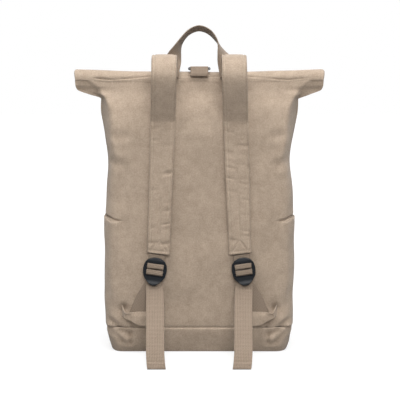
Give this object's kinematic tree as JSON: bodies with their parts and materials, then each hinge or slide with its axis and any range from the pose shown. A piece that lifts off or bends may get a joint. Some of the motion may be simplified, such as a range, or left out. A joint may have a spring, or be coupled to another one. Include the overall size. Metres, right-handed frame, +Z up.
{
  "type": "rolltop backpack",
  "caption": "Canvas rolltop backpack standing on its base, with padded shoulder straps, ladder-lock adjusters, side pockets and a webbing handle.",
  "frame": {"origin": "middle of the flat underside of the base", "axes": "+Z up, +X to the right when looking at the shoulder straps, +Y from the straps towards the front wall"},
  "size_m": [0.374, 0.218, 0.4957],
  "materials": {
    "canvas": "matt woven cotton canvas",
    "webbing": "matt woven cotton webbing",
    "black_plastic": "satin moulded plastic"
  },
  "bodies": {
    "root": {"back_panel": "canvas", "front_panel": "canvas", "side_panel_left": "canvas", "side_panel_right": "canvas", "base_panel": "canvas", "roll_top": "canvas", "side_pocket_left": "canvas", "side_pocket_right": "canvas", "corner_tab_left": "canvas", "corner_tab_right": "canvas", "shoulder_strap_left": "canvas", "shoulder_strap_right": "canvas", "anchor_webbing_left": "webbing", "anchor_webbing_right": "webbing", "adjuster_webbing_left": "webbing", "adjuster_webbing_right": "webbing", "carry_handle": "webbing", "closure_loop": "webbing", "closure_strap": "webbing", "closure_clasp": "black_plastic", "ladder_lock_left": "black_plastic", "ladder_lock_right": "black_plastic"}
  },
  "joints": []
}
